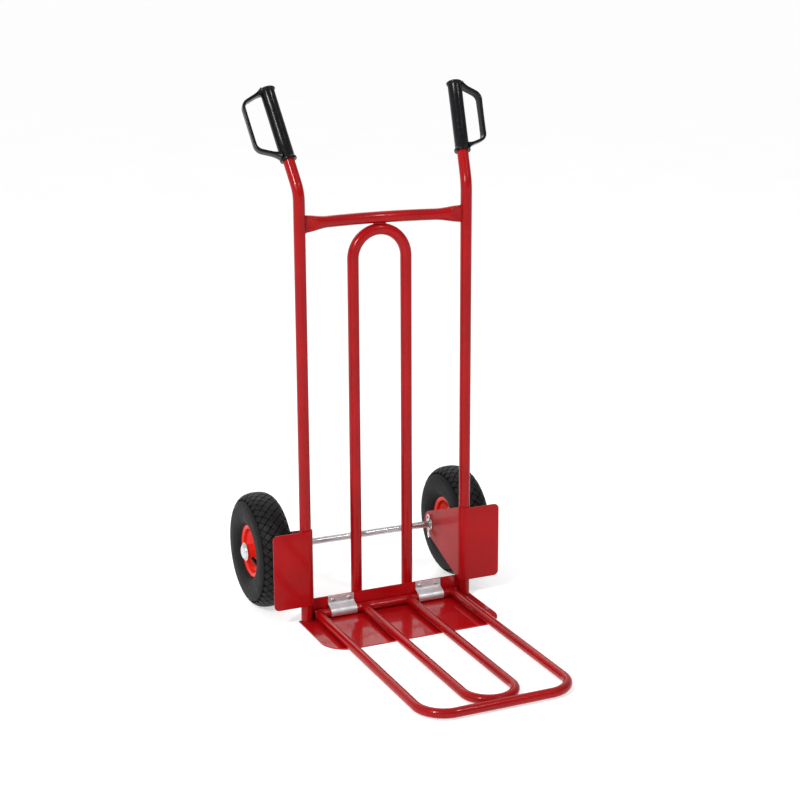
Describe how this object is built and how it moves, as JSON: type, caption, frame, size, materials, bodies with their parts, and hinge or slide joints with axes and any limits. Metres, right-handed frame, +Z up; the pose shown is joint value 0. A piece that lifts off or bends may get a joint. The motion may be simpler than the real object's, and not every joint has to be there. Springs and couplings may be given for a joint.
{
  "type": "hand truck",
  "caption": "Red tubular steel hand truck with folding toe extension, centre hoop, black guarded grips and pneumatic wheels on a through axle.",
  "frame": {"origin": "on the floor, under the toe plate, midway between the uprights and in the plane of their axes", "axes": "+Z up, -Y to the load side, where the toe plate reaches, +X to the right of someone who looks at the load side"},
  "size_m": [0.5794, 0.8602, 1.1648],
  "materials": {
    "red_paint": "glossy red powder coat on steel tube and sheet",
    "rim_paint": "glossy orange-red paint on pressed steel",
    "zinc_plate": "bright zinc plating",
    "bearing_steel": "ground bearing steel",
    "black_plastic": "smooth black moulded plastic",
    "tyre_rubber": "matt black rubber with a block tread",
    "inner_rubber": "soft black rubber"
  },
  "bodies": {
    "frame": {"left_upright": "red_paint", "right_upright": "red_paint", "crossbar": "red_paint", "centre_hoop": "red_paint", "toe_plate": "red_paint", "left_wheel_bracket": "red_paint", "right_wheel_bracket": "red_paint", "axle": "zinc_plate", "left_axle_spacer": "zinc_plate", "right_axle_spacer": "zinc_plate", "axle_washers": "zinc_plate", "left_split_pin": "zinc_plate", "right_split_pin": "zinc_plate", "left_hub_cap": "zinc_plate", "right_hub_cap": "zinc_plate", "left_hinge_clip": "zinc_plate", "right_hinge_clip": "zinc_plate", "clip_rivets": "zinc_plate", "left_grip": "black_plastic", "right_grip": "black_plastic"},
    "left_wheel": {"left_tyre": "tyre_rubber", "left_inner_tube": "inner_rubber", "left_rim_outer_half": "rim_paint", "left_rim_inner_half": "rim_paint", "left_hub": "rim_paint", "left_bearings": "bearing_steel", "left_rim_bolts": "zinc_plate", "left_rim_nuts": "zinc_plate", "left_valve": "black_plastic"},
    "right_wheel": {"right_tyre": "tyre_rubber", "right_inner_tube": "inner_rubber", "right_rim_outer_half": "rim_paint", "right_rim_inner_half": "rim_paint", "right_hub": "rim_paint", "right_bearings": "bearing_steel", "right_rim_bolts": "zinc_plate", "right_rim_nuts": "zinc_plate", "right_valve": "black_plastic"},
    "extension": {"extension_rear_bar": "red_paint", "extension_end_plugs": "black_plastic", "extension_outer_loop": "red_paint", "extension_inner_loop": "red_paint"}
  },
  "joints": [
    {"name": "left_wheel_spin", "type": "hinge", "parent": "frame", "child": "left_wheel", "pos_m": [-0.243, 0.15, 0.13], "axis": [1, 0, 0], "continuous": true},
    {"name": "right_wheel_spin", "type": "hinge", "parent": "frame", "child": "right_wheel", "pos_m": [0.243, 0.15, 0.13], "axis": [1, 0, 0], "continuous": true},
    {"name": "extension_fold", "type": "hinge", "parent": "frame", "child": "extension", "pos_m": [0, 0.0018, 0.0134], "axis": [-1, 0, 0], "range_deg": [0, 90]}
  ]
}
